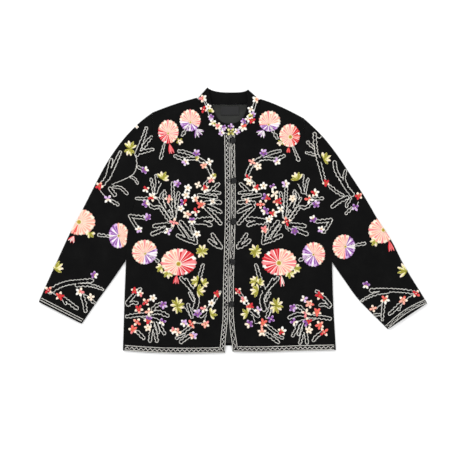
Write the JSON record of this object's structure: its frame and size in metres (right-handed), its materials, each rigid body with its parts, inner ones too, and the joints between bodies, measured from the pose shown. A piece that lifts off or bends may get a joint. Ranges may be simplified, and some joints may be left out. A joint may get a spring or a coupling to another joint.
{
  "type": "embroidered jacket",
  "caption": "Long-sleeved straight jacket with a stand collar, knot-and-loop front closures and round raised flower embroidery, laid flat and face up.",
  "frame": {"origin": "middle of the laid-out jacket's outline, on the surface that it lies on", "axes": "+X across the sleeves towards the wearer's left, +Y up towards the collar, +Z out of the front, away from the surface"},
  "size_m": [0.973, 0.6649, 0.0143],
  "materials": {
    "black_wool": "matte boiled wool",
    "charcoal_lining": "smooth lining cloth",
    "black_satin": "bare satin label",
    "black_cord": "twisted cord",
    "blossom_yarn": "embroidery yarn"
  },
  "bodies": {
    "root": {"back": "black_wool", "front_right": "black_wool", "front_left": "black_wool", "sleeve_right": "black_wool", "sleeve_left": "black_wool", "collar": "black_wool", "back_lining": "charcoal_lining", "neck_label": "black_satin", "button_1": "black_cord", "button_2": "black_cord", "button_3": "black_cord", "button_4": "black_cord", "button_5": "black_cord", "loop_1": "black_cord", "loop_2": "black_cord", "loop_3": "black_cord", "loop_4": "black_cord", "loop_5": "black_cord", "blossom_right_shoulder": "blossom_yarn", "blossom_right_collar": "blossom_yarn", "blossom_right_elbow": "blossom_yarn", "blossom_right_armhole": "blossom_yarn", "blossom_right_side": "blossom_yarn", "blossom_right_waist": "blossom_yarn", "blossom_left_shoulder": "blossom_yarn", "blossom_left_collar": "blossom_yarn", "blossom_left_elbow": "blossom_yarn", "blossom_left_armhole": "blossom_yarn", "blossom_left_side": "blossom_yarn", "blossom_left_waist": "blossom_yarn"}
  },
  "joints": []
}
